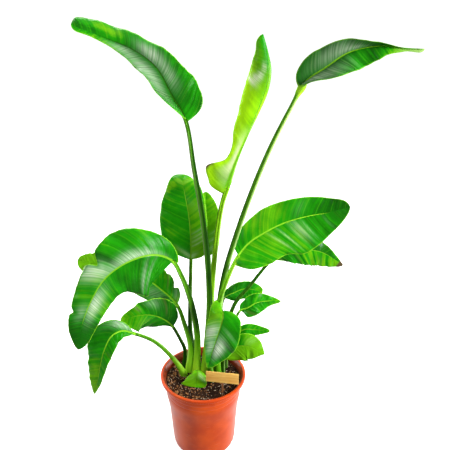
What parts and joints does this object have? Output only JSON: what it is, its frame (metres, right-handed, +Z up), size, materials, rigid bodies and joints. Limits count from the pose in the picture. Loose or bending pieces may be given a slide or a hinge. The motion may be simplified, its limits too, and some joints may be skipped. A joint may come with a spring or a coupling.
{
  "type": "potted bird of paradise",
  "caption": "Clump of tall stalked paddle-shaped leaves growing from soil in a round tapered nursery pot, with a blank wooden tag.",
  "frame": {"origin": "centre of the pot's underside, on the plane that the pot stands on", "axes": "+X to the viewer's right, +Y away from the viewer, +Z up"},
  "size_m": [0.82, 0.3362, 1.186],
  "materials": {
    "pot": "orange-red moulded plastic, semi-gloss",
    "soil": "dark brown potting mix, matt",
    "leaf_deep": "deep green waxy leaf",
    "leaf_mid": "mid green waxy leaf",
    "leaf_fresh": "fresh green glossy leaf",
    "leaf_young": "yellow-green young leaf",
    "tag_plate": "light bare wood, smooth",
    "tag_stick": "light bare wood, sawn"
  },
  "bodies": {
    "root": {"pot": "pot", "soil": "soil", "leaf_top_left": "leaf_deep", "leaf_young": "leaf_young", "leaf_top_right": "leaf_deep", "leaf_upright_left": "leaf_deep", "leaf_upright_back": "leaf_mid", "leaf_right": "leaf_mid", "leaf_right_back": "leaf_deep", "leaf_arching_left": "leaf_fresh", "leaf_low_front_left": "leaf_mid", "leaf_low_left": "leaf_mid", "leaf_back_left": "leaf_mid", "leaf_front": "leaf_fresh", "leaf_small_back_right": "leaf_fresh", "leaf_small_right": "leaf_mid", "leaf_small_low_right": "leaf_deep", "leaf_small_front_right": "leaf_fresh", "leaf_shoot_front": "leaf_mid", "tag_plate": "tag_plate", "tag_stick": "tag_stick"}
  },
  "joints": []
}
